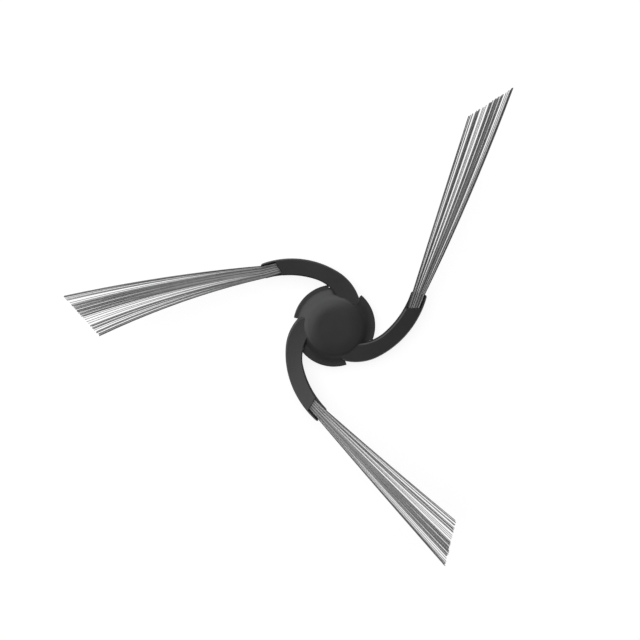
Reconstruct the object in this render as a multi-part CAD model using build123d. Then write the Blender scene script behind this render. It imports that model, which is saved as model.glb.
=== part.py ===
"""Side brush of a robot vacuum: a moulded hub with curved arms, and a tuft of nylon filaments in each arm."""

from build123d import *
from collections import namedtuple
from math import asin, cos, degrees, radians, sin, sqrt, tan
import os

# All lengths are in millimetres and all angles in degrees.
# The brush lies dome up: its axis is Z, and the underside of the skirt is z = 0.

# Hub: a flat crown, its gently rounded border, a short flank and a hollow flare down to the skirt.
HUB_HEIGHT = 4.25
CROWN_RADIUS = 4.7
CROWN_ROUND = 16.0
CROWN_SLOPE = 12.0
SHOULDER_ROUND = 2.0
FLANK_SLOPE = 36.0
FLARE_ROUND = 2.6
SKIRT_RADIUS = 12.3
SKIRT_HEIGHT = 2.4
SKIRT_BEVEL = 0.12

# Skirt: a step in its rim at the outer side of each arm, and a small relief hole at the inner side.
# Both angles are measured back from the heading of the arm.
STEP_RADIUS = 11.05
STEP_ANGLE = 146.5
STEP_SWEEP = 25.0
RELIEF_RADIUS = 11.75
RELIEF_ANGLE = 97.5
RELIEF_DIAMETER = 0.6

# Underside: a hollow, with a socket in the middle for a keyed shaft, and ribs to stiffen it.
CROWN_WALL = 1.15
HOLLOW_MOUTH_RADIUS = 9.7
HOLLOW_NECK_RADIUS = 9.4
HOLLOW_NECK_HEIGHT = 1.3
HOLLOW_SHOULDER_RADIUS = 7.5
HOLLOW_SHOULDER_HEIGHT = 2.9
SOCKET_RADIUS = 2.5
SOCKET_WALL = 1.8
KEY_COUNT = 2
KEY_WIDTH = 1.2
KEY_DEPTH = 0.7
RIB_COUNT = 6
RIB_THICKNESS = 0.9
RIB_RECESS = 1.0

# Arms: each one is drawn with X along its tuft and Y to its inner side, and then turned to its heading.
# Where an arc of its sides starts or stops is given as a direction from the centre of that arc.
ARM_COUNT = 3
FIRST_HEADING = 74.0
TUFT_OFFSET = 20.85
ARM_END = 16.5
OUTER_SIDE = 2.62
OUTER_RADIUS = 25.95
OUTER_SQUARE_AT = 13.7
OUTER_ROOT_RADIUS = 14.6
OUTER_ROOT_FROM = 223.0
OUTER_HEEL_RADIUS = 2.5
OUTER_HEEL_FROM = 185.0
OUTER_HEEL_TO = 95.0
INNER_SIDE = 1.9
INNER_RADIUS = 25.1
INNER_SQUARE_AT = 15.5
INNER_ROOT_RADIUS = 12.1
INNER_ROOT_FROM = 237.5
INNER_ROOT_TO = 177.5
ARM_THICKNESS = 2.5
ARM_ROOT_TOP = 3.35
RISE_FROM = -10.0
RISE_RADIUS = 98.0
BEVEL_WIDTH = 0.35
BEVEL_DROP = 0.35
OUTER_CORNER_ROUND = 0.9
INNER_CORNER_ROUND = 0.8

# Pocket: a slot under the top plate, open to the front in a tray where the plate stops short.
PLATE_END = 11.8
PLATE_THICKNESS = 0.8
PLATE_SKEW = 15.5
POCKET_DEPTH = 4.0
POCKET_SHIFT = 0.6
POCKET_CLEARANCE = 0.05
TRAY_WALL_INSIDE = 2.1

# Tufts: filaments in layers, bonded into a strip in the pocket and fanned out to an oblique cut.
TUFT_PITCH = 12.0
FILAMENT_DIAMETER = 0.24
FILAMENT_SIDES = 6
FILAMENT_SPACING = 0.26
LAYERS = 3
LAYER_SPREAD = 1.6
STRIP_FRONT = -0.7
STRIP_HOLD = 0.2
TRAY_FLARE = 1.12
BUNCH_SPACING = 0.018

# Where the filaments bunch along the cut, from the outer edge (0) to the inner edge (1), and how many there.
TIP_BUNCHES = (
    (0.030, 4), (0.110, 2), (0.160, 1), (0.235, 4), (0.300, 4), (0.375, 5), (0.455, 3), (0.505, 3),
    (0.590, 1), (0.645, 1), (0.690, 1), (0.755, 3), (0.820, 3), (0.915, 2), (0.950, 2), (0.985, 3),
)

# How each tuft has set: how far its two edges reach from the end of the plate, how far to the inner side
# of the tuft's line they end, and how far to the inner side they bow.
Fan = namedtuple("Fan", "outer_reach outer_aside outer_bow inner_reach inner_aside inner_bow")
FANS = (
    Fan(65.5, -6.0, -0.5, 55.6, 2.7, -0.1),
    Fan(58.8, -7.4, -0.6, 53.0, 5.1, -1.5),
    Fan(60.5, -4.5, -0.1, 53.5, 6.6, -0.3),
)

# What follows from the values above.
COLUMNS = sum(count for _, count in TIP_BUNCHES) // LAYERS
FILAMENT_FLAT = FILAMENT_DIAMETER / 2 * cos(radians(180 / FILAMENT_SIDES))
LAYERS_HEIGHT = (LAYERS - 1) * FILAMENT_SPACING + 2 * FILAMENT_FLAT
POCKET_WIDTH = COLUMNS * FILAMENT_SPACING + 2 * POCKET_CLEARANCE
POCKET_HEIGHT = LAYERS_HEIGHT + POCKET_CLEARANCE
TRAY_LENGTH = (ARM_END - PLATE_END) / cos(radians(TUFT_PITCH))

# Longer than any arm, for cutters that run right through, and how near counts as touching.
THROUGH = 60.0
TOUCH = 0.001


def polar(radius, angle):
    return Vector(radius * cos(radians(angle)), radius * sin(radians(angle)))


def arm_top(x):
    """Height of the arm's top: level at the root, then rising on an arc."""
    rise = max(x - RISE_FROM, 0)
    return ARM_ROOT_TOP + RISE_RADIUS - sqrt(RISE_RADIUS**2 - rise**2)


def on_arm_top(point):
    return abs(point.Z - arm_top(point.X)) < TOUCH


def from_axis(edge):
    """How far the middle of an edge is from the hub's axis."""
    middle = edge @ 0.5
    return sqrt(middle.X**2 + middle.Y**2)


def dome():
    """The outside of the hub."""
    crown = radians(CROWN_SLOPE)
    flank = radians(FLANK_SLOPE)
    crown_edge = Vector(CROWN_RADIUS, HUB_HEIGHT)
    crown_end = crown_edge + CROWN_ROUND * Vector(sin(crown), cos(crown) - 1)
    shoulder_end = crown_end + SHOULDER_ROUND * Vector(sin(flank) - sin(crown), cos(flank) - cos(crown))
    flare_top = SKIRT_HEIGHT + FLARE_ROUND * (1 - cos(flank))
    flare_start = Vector(shoulder_end.X + (shoulder_end.Y - flare_top) / tan(flank), flare_top)
    flare_end = Vector(flare_start.X + FLARE_ROUND * sin(flank), SKIRT_HEIGHT)
    bevel_start = (SKIRT_RADIUS - SKIRT_BEVEL, SKIRT_HEIGHT)
    bevel_end = (SKIRT_RADIUS, SKIRT_HEIGHT - SKIRT_BEVEL)
    with BuildSketch(Plane.XZ) as section:
        with BuildLine():
            Polyline((0, 0), (0, HUB_HEIGHT), crown_edge)
            TangentArc(crown_edge, crown_end, tangent=(1, 0))
            TangentArc(crown_end, shoulder_end, tangent=(cos(crown), -sin(crown)))
            Line(shoulder_end, flare_start)
            TangentArc(flare_start, flare_end, tangent=(cos(flank), -sin(flank)))
            Polyline(flare_end, bevel_start, bevel_end, (SKIRT_RADIUS, 0), (0, 0))
        make_face()
    return revolve(section.sketch, Axis.Z)


def skirt_step():
    """What is cut off the skirt at the outer side of the first arm."""
    start = FIRST_HEADING - STEP_ANGLE
    sides = Polyline((0, 0), polar(THROUGH, start), polar(THROUGH, start + STEP_SWEEP), close=True)
    return extrude(make_face(sides) - Circle(STEP_RADIUS), HUB_HEIGHT)


def relief_hole():
    """The hole through the skirt at the inner side of the first arm."""
    centre = polar(RELIEF_RADIUS, FIRST_HEADING - RELIEF_ANGLE)
    return extrude(Pos(centre) * Circle(RELIEF_DIAMETER / 2), HUB_HEIGHT)


def hollow():
    """The space under the hub, round the boss of the socket and the ribs."""
    roof = HUB_HEIGHT - CROWN_WALL
    neck = (HOLLOW_NECK_RADIUS, HOLLOW_NECK_HEIGHT)
    shoulder = (HOLLOW_SHOULDER_RADIUS, HOLLOW_SHOULDER_HEIGHT)
    section = Polyline((0, 0), (HOLLOW_MOUTH_RADIUS, 0), neck, shoulder,
                       (CROWN_RADIUS, roof), (0, roof), close=True)
    space = revolve(Plane.XZ * make_face(section), Axis.Z)
    on_floor = (Align.CENTER, Align.CENTER, Align.MIN)
    space -= Cylinder(SOCKET_RADIUS + SOCKET_WALL, HUB_HEIGHT, align=on_floor)
    rib = Pos(THROUGH / 2, 0, RIB_RECESS) * Box(THROUGH, RIB_THICKNESS, HUB_HEIGHT, align=on_floor)
    for n in range(RIB_COUNT):
        space -= Rot(0, 0, 360 / RIB_COUNT * n) * rib
    return space


def socket():
    """The bore for the shaft, with a slot for each of its keys."""
    section = Circle(SOCKET_RADIUS)
    reach = SOCKET_RADIUS + KEY_DEPTH
    for n in range(KEY_COUNT):
        section += Rot(0, 0, 360 / KEY_COUNT * n) * (Pos(reach / 2, 0) * Rectangle(reach, KEY_WIDTH))
    return extrude(section, HUB_HEIGHT - CROWN_WALL)


def smooth_arcs(centre, start, *arcs):
    """Arcs that run on smoothly, each given as a radius and the direction where it stops."""
    edges = []
    previous = arcs[0][0]
    for radius, stop in arcs:
        centre += polar(previous - radius, start)
        edges.append(CenterArc(centre, radius, start, stop - start))
        previous = radius
        start = stop
    return edges


def arm_outline():
    """The arm from above: a long arc on each side, and tighter ones where that side turns into the hub."""
    outer_centre = Vector(OUTER_SQUARE_AT, OUTER_RADIUS - OUTER_SIDE - TUFT_OFFSET)
    inner_centre = Vector(INNER_SQUARE_AT, INNER_RADIUS + INNER_SIDE - TUFT_OFFSET)
    outer_end = 270 + degrees(asin((ARM_END - OUTER_SQUARE_AT) / OUTER_RADIUS))
    inner_end = 270 + degrees(asin((ARM_END - INNER_SQUARE_AT) / INNER_RADIUS))
    outer = smooth_arcs(outer_centre, outer_end, (OUTER_RADIUS, OUTER_ROOT_FROM),
                        (OUTER_ROOT_RADIUS, OUTER_HEEL_FROM), (OUTER_HEEL_RADIUS, OUTER_HEEL_TO))
    inner = smooth_arcs(inner_centre, inner_end, (INNER_RADIUS, INNER_ROOT_FROM),
                        (INNER_ROOT_RADIUS, INNER_ROOT_TO))
    tip_end = Line(outer[0] @ 0, inner[0] @ 0)
    root_end = Line(outer[-1] @ 1, inner[-1] @ 1)
    return make_face([*outer, *inner, tip_end, root_end])


def arm_side():
    """The arm from the side, longer than it is at both ends."""
    centre = Vector(RISE_FROM, ARM_ROOT_TOP + RISE_RADIUS)
    turn = 2 * degrees(asin((ARM_END - RISE_FROM) / RISE_RADIUS))
    top = CenterArc(centre, RISE_RADIUS, 270, turn)
    under = CenterArc(centre, RISE_RADIUS + ARM_THICKNESS, 270, turn)
    back = Vector(-THROUGH, 0)
    level = Polyline(top @ 0, top @ 0 + back, under @ 0 + back, under @ 0)
    return make_face([top, under, level, Line(top @ 1, under @ 1)])


def tuft_plane():
    """Origin on the pocket's floor where the plate ends, X out along the tuft, Y to the inner side."""
    tilt = radians(TUFT_PITCH)
    below = (PLATE_THICKNESS + POCKET_HEIGHT) / cos(tilt)
    origin = (PLATE_END, -TUFT_OFFSET, arm_top(PLATE_END) - below)
    return Plane(origin, x_dir=(cos(tilt), 0, sin(tilt)), z_dir=(-sin(tilt), 0, cos(tilt)))


def strip_outline(clearance):
    """The back of the pocket, or the strip that sits in it with the given clearance all round."""
    half = POCKET_WIDTH / 2 - clearance
    back = clearance - POCKET_DEPTH
    return make_face(Polyline((back, POCKET_SHIFT - half), (STRIP_FRONT, -half),
                              (STRIP_FRONT, half), (back, POCKET_SHIFT + half), close=True))


def pocket():
    """The slot under the plate, and what is cut away in front of it, up to the wall on the outer side."""
    half = POCKET_WIDTH / 2
    wall = -TRAY_WALL_INSIDE
    skew = tan(radians(PLATE_SKEW))
    mouth = make_face(Polyline((STRIP_FRONT, -half), (TRAY_LENGTH, -half),
                               (TRAY_LENGTH, half), (STRIP_FRONT, half), close=True))
    tray = make_face(Polyline((-wall * skew, wall), (THROUGH, wall), (THROUGH, THROUGH),
                              (-THROUGH * skew, THROUGH), close=True))
    return extrude(strip_outline(0) + mouth, POCKET_HEIGHT) + extrude(tray, THROUGH)


def bevel_top(blank):
    """The arm with the edges of its top bevelled, other than the one inside the hub."""
    top = [face for face in blank.faces() if on_arm_top(face.center(CenterOf.GEOMETRY))][0]
    edges = top.edges().sort_by(from_axis)
    return chamfer(edges[1:], BEVEL_WIDTH, BEVEL_DROP, reference=top)


def arm():
    """One arm, with its corners rounded, its top edges bevelled and its pocket cut."""
    blank = extrude(Plane.XZ * arm_side(), THROUGH) & extrude(arm_outline(), THROUGH)
    corners = blank.edges().filter_by(Axis.Z).group_by(Axis.X)[-1].sort_by(Axis.Y)
    blank = fillet(corners[0], OUTER_CORNER_ROUND)
    corners = blank.edges().filter_by(Axis.Z).group_by(Axis.X)[-1].sort_by(Axis.Y)
    blank = fillet(corners[-1], INNER_CORNER_ROUND)
    return bevel_top(blank) - tuft_plane().location * pocket()


def tip_shares():
    """Where the filaments end along the cut, from its outer to its inner edge."""
    shares = []
    for centre, count in TIP_BUNCHES:
        shares += [centre + (n - (count - 1) / 2) * BUNCH_SPACING for n in range(count)]
    return sorted(shares)


def tip(fan, share):
    """Where a filament ends, in the plane of the tuft, and how far it bows on its way."""
    reach = fan.outer_reach + (fan.inner_reach - fan.outer_reach) * share
    aside = fan.outer_aside + (fan.inner_aside - fan.outer_aside) * share
    bow = fan.outer_bow + (fan.inner_bow - fan.outer_bow) * share
    return reach, aside, bow


def filament(points):
    """One filament through the given points of the tuft's plane."""
    section = RegularPolygon(FILAMENT_DIAMETER / 2, FILAMENT_SIDES)
    return loft([Plane(p, x_dir=(0, 1, 0), z_dir=(1, 0, 0)) * section for p in points], ruled=True)


def tuft(fan):
    """A tuft in its own plane: the bonded strip in the pocket, and the filaments that fan out of it."""
    strip = extrude(strip_outline(POCKET_CLEARANCE), LAYERS_HEIGHT)
    filaments = []
    for n, share in enumerate(tip_shares()):
        column, layer = divmod(n, LAYERS)
        across = (column - (COLUMNS - 1) / 2) * FILAMENT_SPACING
        height = FILAMENT_FLAT + layer * FILAMENT_SPACING
        spread = (layer - (LAYERS - 1) / 2) * FILAMENT_SPACING * LAYER_SPREAD
        reach, aside, bow = tip(fan, share)
        end = Vector(reach, aside, LAYERS_HEIGHT / 2 + spread)
        start = Vector(STRIP_FRONT - STRIP_HOLD, across, height)
        leave = Vector(TRAY_LENGTH, across * TRAY_FLARE, height)
        middle = (leave + end) / 2 + Vector(0, bow, 0)
        filaments.append(filament([start, leave, middle, end]))
    return strip.fuse(*filaments)


def brush_body():
    """The moulding: hub, skirt and arms, hollow underneath."""
    body = dome()
    one_arm = Rot(0, 0, FIRST_HEADING) * arm()
    for n in range(ARM_COUNT):
        body -= Rot(0, 0, 360 / ARM_COUNT * n) * (skirt_step() + relief_hole())
    for n in range(ARM_COUNT):
        body += Rot(0, 0, 360 / ARM_COUNT * n) * one_arm
    return body - hollow() - socket()


def write(name, shape):
    os.makedirs("parts", exist_ok=True)
    export_step(shape, f"parts/{name}.step")


if __name__ == "__main__":
    write("brush_body", brush_body())
    for n, fan in enumerate(FANS):
        place = Rot(0, 0, FIRST_HEADING + 360 / ARM_COUNT * n) * tuft_plane().location
        write(f"bristle_tuft_{n + 1}", place * tuft(fan))
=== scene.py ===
import math
import random

import bpy
from mathutils import Matrix, Vector


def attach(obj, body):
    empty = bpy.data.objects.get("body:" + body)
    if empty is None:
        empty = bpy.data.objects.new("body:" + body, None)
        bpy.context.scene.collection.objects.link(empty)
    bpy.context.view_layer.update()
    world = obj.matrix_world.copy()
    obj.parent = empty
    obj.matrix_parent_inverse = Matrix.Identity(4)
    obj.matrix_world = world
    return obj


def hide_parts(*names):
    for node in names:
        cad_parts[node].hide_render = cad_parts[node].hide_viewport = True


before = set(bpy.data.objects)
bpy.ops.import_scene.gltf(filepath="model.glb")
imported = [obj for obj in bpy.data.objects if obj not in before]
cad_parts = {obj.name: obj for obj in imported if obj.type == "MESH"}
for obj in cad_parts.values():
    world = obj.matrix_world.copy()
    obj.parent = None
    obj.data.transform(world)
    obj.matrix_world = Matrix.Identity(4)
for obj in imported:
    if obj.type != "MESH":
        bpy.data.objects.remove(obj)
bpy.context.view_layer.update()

MM = 0.001

# The arms and the seats of the tufts, in millimetres and degrees, as in the CAD source.
FIRST_HEADING = 74.0
TUFT_OFFSET = 20.85
TUFT_PITCH = 12.0
ARM_END = 16.5
ARM_ROOT_TOP = 3.35
RISE_FROM = -10.0
RISE_RADIUS = 98.0
PLATE_END = 11.8
PLATE_THICKNESS = 0.8
POCKET_CLEARANCE = 0.05
SOLID_DIAMETER = 0.24
SOLID_SIDES = 6
SOLID_SPACING = 0.26
LAYERS = 3
LAYER_SPREAD = 1.6
TRAY_FLARE = 1.12

# What follows from them.
PITCH = math.radians(TUFT_PITCH)
RISE_LENGTH = PLATE_END - RISE_FROM
PLATE_TOP = ARM_ROOT_TOP + RISE_RADIUS - math.sqrt(RISE_RADIUS**2 - RISE_LENGTH**2)
LAYERS_HEIGHT = (LAYERS - 1) * SOLID_SPACING + SOLID_DIAMETER * math.cos(math.pi / SOLID_SIDES)
FLOOR_BELOW = (PLATE_THICKNESS + POCKET_CLEARANCE + LAYERS_HEIGHT) / math.cos(PITCH)
TRAY_LENGTH = (ARM_END - PLATE_END) / math.cos(PITCH)

# The scene's own filaments, rounder than the solid ones and more of them, in millimetres on a tuft's axes:
# X out along it from the end of the plate, Y to the arm's inner side, Z up from the pocket's floor.
FILAMENT_RADIUS = 0.118
FILAMENT_SIDES = 8
FILAMENT_SPACING = 0.24
FILAMENT_START = -0.75
OUTER_PLACE = -1.68
INNER_PLACE = 1.5
CURVE_STEPS = 10

# The domed tip of a filament, as shares of the filament's radius.
TIP_LENGTH = 0.5
TIP_RADIUS = 0.7

# How unlike each other the filaments are: along the cut, in reach, in bow, in thickness and in tone.
FIRST_SEED = 40
SHARE_SPREAD = 0.002
REACH_SPREAD = (-0.25, 0.1)
BOW_SPREAD = 0.06
THICKNESS_SPREAD = (0.9, 1.04)
TONE_SPREAD = 0.2

# How each tuft has set, nearly as in the CAD source: how far its outer edge reaches, how far to the inner
# side it ends and how far to the inner side it bows, then the same for its inner edge.
FANS = (
    (65.4, -6.00, -0.75, 55.35, 2.92, 0.1),
    (58.8, -7.40, -0.85, 52.80, 5.50, -1.4),
    (60.5, -4.50, -0.1, 53.30, 6.93, -0.2),
)

# Bunches along the cut, from its outer edge (0) to its inner edge (1): middle, number of filaments, width,
# and painted light from dark (0) to pale (1). The light that comes through filaments lying singly is painted
# into their colour, so those are the palest.
BUNCHES = (
    (0.014, 4, 0.030, 0.26), (0.053, 1, 0.000, 0.76), (0.078, 1, 0.000, 0.84), (0.102, 2, 0.012, 0.84),
    (0.165, 1, 0.000, 0.92), (0.203, 1, 0.000, 0.92), (0.240, 4, 0.040, 0.68), (0.276, 1, 0.000, 0.60),
    (0.315, 5, 0.042, 0.58), (0.378, 6, 0.050, 0.62), (0.422, 1, 0.000, 0.80), (0.456, 4, 0.034, 0.54),
    (0.500, 4, 0.030, 0.42), (0.543, 1, 0.000, 0.96), (0.587, 1, 0.000, 0.96), (0.636, 1, 0.000, 0.96),
    (0.680, 1, 0.000, 0.92), (0.747, 4, 0.034, 0.60), (0.805, 4, 0.034, 0.56), (0.850, 1, 0.000, 0.96),
    (0.905, 3, 0.040, 0.60), (0.960, 3, 0.034, 0.56), (0.993, 2, 0.014, 0.28),
)

# Painted light: how much paler or darker each tuft's colour is painted for how the light falls along it, and
# painted shade: how the filaments are painted darker towards the root, in streaks, where they lie deeper.
TUFT_PAINTED_LIGHT = (-0.17, 0.03, 0.16)
ROOT_SHADE = 0.26
ROOT_LENGTH = 26.0
ROOT_SHADE_STREAKS = 5
SHADE_STREAK_CONTRAST = 1.7

# The darkest and the palest colour of each material.
PLASTIC_COLOURS = ((0.027, 0.027, 0.0274, 1), (0.033, 0.033, 0.0333, 1))
NYLON_COLOURS = ((0.04, 0.04, 0.0403, 1), (0.47, 0.47, 0.473, 1))

# The height of a face's normal, from 0 to 1, up to which it is a wall and from which it is a top.
WALL_FACING = (0.1, 0.6)

# The floor: half its width, in metres, how far below the part it lies, in millimetres, how much light it
# throws back on the part, how much of the light and shadow on it shows, and the white that shows besides.
FLOOR_REACH = 3.0
FLOOR_DROP = 0.02
FLOOR_BOUNCE = 0.8
FLOOR_SHADOW = 0.25
FLOOR_WHITE = 0.85

WORLD_LIGHT = 0.15

# The photo's view, nearly from above: where the camera stands, in millimetres, and its right and up.
CAMERA_PLACE = Vector((-13.11, 23.55, 191.61))
CAMERA_RIGHT = Vector((0.99888, -0.00394, 0.04709))
CAMERA_UP = Vector((0.00926, 0.99353, -0.11318))
CAMERA_LENS = 36.0
CAMERA_SENSOR = 36.0
CAMERA_NEAR = 10.0


def between(first, last, share):
    """The value at a share of the way from the first to the last."""
    return first + (last - first) * share


def add_object(name, data):
    thing = bpy.data.objects.new(name, data)
    bpy.context.scene.collection.objects.link(thing)
    return thing


def nodes_of(material):
    material.use_nodes = True
    return material.node_tree.nodes, material.node_tree.links


def noise(nodes, scale, detail):
    texture = nodes.new("ShaderNodeTexNoise")
    texture.inputs["Scale"].default_value = scale
    texture.inputs["Detail"].default_value = detail
    return texture


def colour_ramp(nodes, colours, positions):
    node = nodes.new("ShaderNodeValToRGB")
    for element, colour, position in zip(node.color_ramp.elements, colours, positions):
        element.color = colour
        element.position = position
    return node


def map_range(nodes, source, target):
    """A node that takes the source range to the target range and stops at its ends."""
    node = nodes.new("ShaderNodeMapRange")
    for name, value in zip(("From Min", "From Max", "To Min", "To Max"), source + target):
        node.inputs[name].default_value = value
    return node


def math_node(nodes, operation):
    node = nodes.new("ShaderNodeMath")
    node.operation = operation
    return node


def diffuse(nodes, level):
    node = nodes.new("ShaderNodeBsdfDiffuse")
    node.inputs["Color"].default_value = (level, level, level, 1)
    return node


def moulded_plastic():
    """Dark satin plastic: a fine spark-eroded grain, duller walls, and edges soft from the mould."""
    material = bpy.data.materials.new("moulded_plastic")
    nodes, links = nodes_of(material)
    shader = nodes["Principled BSDF"]
    place = nodes.new("ShaderNodeTexCoord")
    grain = noise(nodes, scale=5200.0, detail=3.0)
    patches = noise(nodes, scale=160.0, detail=2.0)
    colour = colour_ramp(nodes, PLASTIC_COLOURS, positions=(0.3, 0.7))
    satin = map_range(nodes, source=(0.0, 1.0), target=(0.27, 0.35))
    geometry = nodes.new("ShaderNodeNewGeometry")
    facing = nodes.new("ShaderNodeSeparateXYZ")
    dullness = map_range(nodes, source=WALL_FACING, target=(0.5, 0.0))
    shine = map_range(nodes, source=WALL_FACING, target=(0.05, 0.5))
    roughness = math_node(nodes, "ADD")
    soft = nodes.new("ShaderNodeBevel")
    soft.samples = 6
    soft.inputs["Radius"].default_value = 0.1 * MM
    bump = nodes.new("ShaderNodeBump")
    bump.inputs["Strength"].default_value = 0.08
    bump.inputs["Distance"].default_value = 0.03 * MM
    links.new(place.outputs["Object"], grain.inputs["Vector"])
    links.new(place.outputs["Object"], patches.inputs["Vector"])
    links.new(patches.outputs["Fac"], colour.inputs["Fac"])
    links.new(colour.outputs["Color"], shader.inputs["Base Color"])
    links.new(geometry.outputs["True Normal"], facing.inputs["Vector"])
    links.new(facing.outputs["Z"], dullness.inputs["Value"])
    links.new(facing.outputs["Z"], shine.inputs["Value"])
    links.new(shine.outputs["Result"], shader.inputs["Specular IOR Level"])
    links.new(grain.outputs["Fac"], satin.inputs["Value"])
    links.new(satin.outputs["Result"], roughness.inputs[0])
    links.new(dullness.outputs["Result"], roughness.inputs[1])
    links.new(roughness.outputs["Value"], shader.inputs["Roughness"])
    links.new(grain.outputs["Fac"], bump.inputs["Height"])
    links.new(soft.outputs["Normal"], bump.inputs["Normal"])
    links.new(bump.outputs["Normal"], shader.inputs["Normal"])
    return material


def drawn_nylon():
    """Grey nylon filament: as pale as its tone with painted light and painted shade says, and a little
    duller in places.
    """
    material = bpy.data.materials.new("drawn_nylon")
    nodes, links = nodes_of(material)
    shader = nodes["Principled BSDF"]
    tone_and_painted_light = nodes.new("ShaderNodeAttribute")
    tone_and_painted_light.attribute_name = "tone_and_painted_light"
    colour = colour_ramp(nodes, NYLON_COLOURS, positions=(0.0, 1.0))
    place = nodes.new("ShaderNodeTexCoord")
    dull = noise(nodes, scale=300.0, detail=2.0)
    roughness = map_range(nodes, source=(0.0, 1.0), target=(0.22, 0.34))
    links.new(tone_and_painted_light.outputs["Fac"], colour.inputs["Fac"])
    links.new(colour.outputs["Color"], shader.inputs["Base Color"])
    links.new(place.outputs["Object"], dull.inputs["Vector"])
    links.new(dull.outputs["Fac"], roughness.inputs["Value"])
    links.new(roughness.outputs["Result"], shader.inputs["Roughness"])
    return material


def floor_white():
    """White to the eye and in reflections, with a faint shadow, and plain pale for all other light."""
    material = bpy.data.materials.new("floor_white")
    nodes, links = nodes_of(material)
    nodes.remove(nodes["Principled BSDF"])
    bounce = diffuse(nodes, FLOOR_BOUNCE)
    shadow = diffuse(nodes, FLOOR_SHADOW)
    white = nodes.new("ShaderNodeEmission")
    white.inputs["Strength"].default_value = FLOOR_WHITE
    shown = nodes.new("ShaderNodeAddShader")
    rays = nodes.new("ShaderNodeLightPath")
    seen = math_node(nodes, "MAXIMUM")
    seen_or_through = math_node(nodes, "MAXIMUM")
    mix = nodes.new("ShaderNodeMixShader")
    links.new(shadow.outputs[0], shown.inputs[0])
    links.new(white.outputs[0], shown.inputs[1])
    links.new(rays.outputs["Is Camera Ray"], seen.inputs[0])
    links.new(rays.outputs["Is Glossy Ray"], seen.inputs[1])
    links.new(seen.outputs[0], seen_or_through.inputs[0])
    links.new(rays.outputs["Is Transmission Ray"], seen_or_through.inputs[1])
    links.new(seen_or_through.outputs[0], mix.inputs[0])
    links.new(bounce.outputs[0], mix.inputs[1])
    links.new(shown.outputs[0], mix.inputs[2])
    links.new(mix.outputs[0], nodes["Material Output"].inputs["Surface"])
    return material


def tuft_matrix(n):
    """From the axes of a tuft, in millimetres, to the frame, in metres."""
    turn = Matrix.Rotation(math.radians(FIRST_HEADING + 360 / len(FANS) * n), 4, "Z")
    shift = Matrix.Translation((PLATE_END, -TUFT_OFFSET, PLATE_TOP - FLOOR_BELOW))
    pitch = Matrix.Rotation(-PITCH, 4, "Y")
    return Matrix.Scale(MM, 4) @ turn @ shift @ pitch


def filament_path(fan, share, across, layer, rng):
    """Points of one filament: straight out of the pocket, then bowing to its place in the cut."""
    outer_reach, outer_aside, outer_bow, inner_reach, inner_aside, inner_bow = fan
    reach = between(outer_reach, inner_reach, share) + rng.uniform(*REACH_SPREAD)
    aside = between(outer_aside, inner_aside, share)
    bow = between(outer_bow, inner_bow, share) + rng.uniform(-BOW_SPREAD, BOW_SPREAD)
    height = FILAMENT_RADIUS + layer * FILAMENT_SPACING
    middle = FILAMENT_RADIUS + (LAYERS - 1) / 2 * FILAMENT_SPACING
    end_height = middle + (height - middle) * LAYER_SPREAD
    leave = Vector((TRAY_LENGTH, across * TRAY_FLARE, height))
    end = Vector((reach, aside, end_height))
    points = [Vector((FILAMENT_START, across, height)), Vector((0.0, across, height))]
    for k in range(CURVE_STEPS + 1):
        t = k / CURVE_STEPS
        point = leave.lerp(end, t)
        point.y += bow * 4 * t * (1 - t)
        points.append(point)
    return points


def add_tube(points, radius, vertices, faces):
    """A round filament along the points, with a domed tip."""
    start = len(vertices)
    rings = [(point, radius) for point in points]
    along = (points[-1] - points[-2]).normalized()
    rings.append((points[-1] + along * radius * TIP_LENGTH, radius * TIP_RADIUS))
    for centre, size in rings:
        for s in range(FILAMENT_SIDES):
            angle = 2 * math.pi * (s + 0.5) / FILAMENT_SIDES
            vertices.append(centre + Vector((0, math.cos(angle), math.sin(angle))) * size)
    last = start + (len(rings) - 1) * FILAMENT_SIDES
    for ring in range(start, last, FILAMENT_SIDES):
        for s in range(FILAMENT_SIDES):
            a = ring + s
            b = ring + (s + 1) % FILAMENT_SIDES
            faces.append((a, b, b + FILAMENT_SIDES, a + FILAMENT_SIDES))
    faces.append(tuple(start + s for s in reversed(range(FILAMENT_SIDES))))
    faces.append(tuple(last + s for s in range(FILAMENT_SIDES)))


def filaments():
    """The place of each filament along the cut, with the painted light of its bunch."""
    places = []
    for middle, count, width, painted_bunch_light in BUNCHES:
        places += [(middle + (k + 0.5 - count / 2) * width / count, painted_bunch_light) for k in range(count)]
    return sorted(places)


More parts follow.
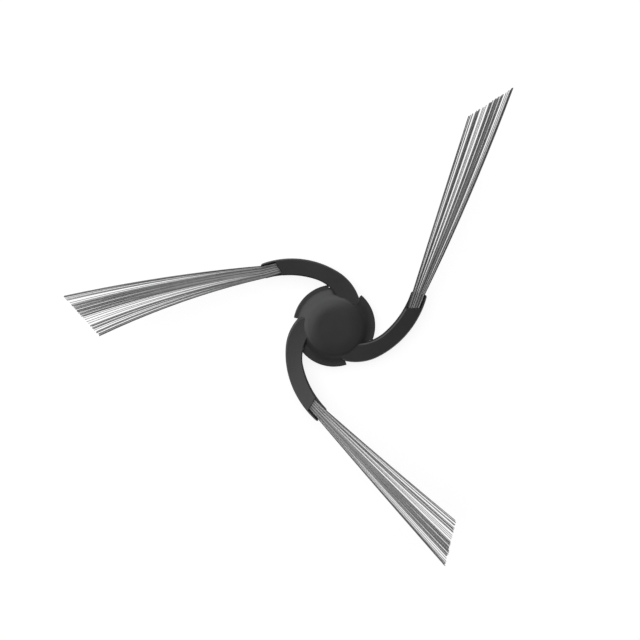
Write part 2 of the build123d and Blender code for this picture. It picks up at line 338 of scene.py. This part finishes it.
def tuft(n, material):
    """The filaments of one tuft as one mesh, which takes the place of the solid tuft."""
    rng = random.Random(FIRST_SEED + n)
    vertices, faces, tones_and_painted_light = [], [], []
    for k, (share, painted_bunch_light) in enumerate(filaments()):
        across = between(OUTER_PLACE, INNER_PLACE, share)
        tip_share = share + rng.uniform(-SHARE_SPREAD, SHARE_SPREAD)
        points = filament_path(FANS[n], tip_share, across, k % LAYERS, rng)
        add_tube(points, FILAMENT_RADIUS * rng.uniform(*THICKNESS_SPREAD), vertices, faces)
        # Painted light: each filament's random tone, plus the light painted for its bunch and for its tuft.
        tone_and_painted_light = painted_bunch_light + TUFT_PAINTED_LIGHT[n] + rng.uniform(-TONE_SPREAD, TONE_SPREAD)
        # Painted shade: darker towards the root, in streaks, where the filaments lie deeper in the tray.
        shade = ROOT_SHADE * (1 + SHADE_STREAK_CONTRAST * math.cos(2 * math.pi * ROOT_SHADE_STREAKS * share))
        for vertex in vertices[len(tones_and_painted_light):]:
            tones_and_painted_light.append(tone_and_painted_light - shade * max(0.0, 1 - vertex.x / ROOT_LENGTH))
    matrix = tuft_matrix(n)
    mesh = bpy.data.meshes.new(f"bristles_{n + 1}")
    mesh.from_pydata([matrix @ vertex for vertex in vertices], [], faces)
    mesh.materials.append(material)
    # Each vertex keeps its tone with the painted light and painted shade in it.
    mesh.attributes.new("tone_and_painted_light", "FLOAT", "POINT").data.foreach_set("value", tones_and_painted_light)
    for face in mesh.polygons:
        face.use_smooth = len(face.vertices) == 4
    mesh.validate()
    piece = add_object(f"bristles_{n + 1}", mesh)
    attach(piece, "root")
    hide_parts(f"bristle_tuft_{n + 1}")


def floor():
    mesh = bpy.data.meshes.new("floor")
    sides = ((-1, -1), (1, -1), (1, 1), (-1, 1))
    corners = [(x * FLOOR_REACH, y * FLOOR_REACH, -FLOOR_DROP * MM) for x, y in sides]
    mesh.from_pydata(corners, [], [(0, 1, 2, 3)])
    mesh.materials.append(floor_white())
    plane = add_object("floor", mesh)


def area_light(name, azimuth, elevation, distance, width, height, power):
    """A soft box that faces the object, in degrees, metres and watts."""
    data = bpy.data.lights.new(name, "AREA")
    data.shape = "RECTANGLE"
    data.size = width
    data.size_y = height
    data.energy = power
    lamp = add_object(name, data)
    az = math.radians(azimuth)
    el = math.radians(elevation)
    towards = Vector((math.cos(az) * math.cos(el), math.sin(az) * math.cos(el), math.sin(el)))
    lamp.location = towards * distance
    lamp.rotation_euler = towards.to_track_quat("Z", "Y").to_euler()


def world_light():
    world = bpy.data.worlds.new("world")
    bpy.context.scene.world = world
    world.use_nodes = True
    background = world.node_tree.nodes["Background"]
    background.inputs["Color"].default_value = (1, 1, 1, 1)
    background.inputs["Strength"].default_value = WORLD_LIGHT


def camera():
    data = bpy.data.cameras.new("camera")
    data.lens = CAMERA_LENS
    data.sensor_width = CAMERA_SENSOR
    data.clip_start = CAMERA_NEAR * MM
    eye = add_object("camera", data)
    turn = Matrix((CAMERA_RIGHT, CAMERA_UP, CAMERA_RIGHT.cross(CAMERA_UP))).transposed().to_4x4()
    eye.matrix_world = Matrix.Translation(CAMERA_PLACE * MM) @ turn
    bpy.context.scene.camera = eye


plastic = moulded_plastic()
nylon = drawn_nylon()
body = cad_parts["brush_body"]
body.data.materials.clear()
body.data.materials.append(plastic)
for index in range(len(FANS)):
    tuft(index, nylon)
floor()
area_light("key", azimuth=134.0, elevation=43.0, distance=0.5, width=1.6, height=1.0, power=6.8)
world_light()
bpy.context.scene.view_settings.view_transform = "Standard"
camera()
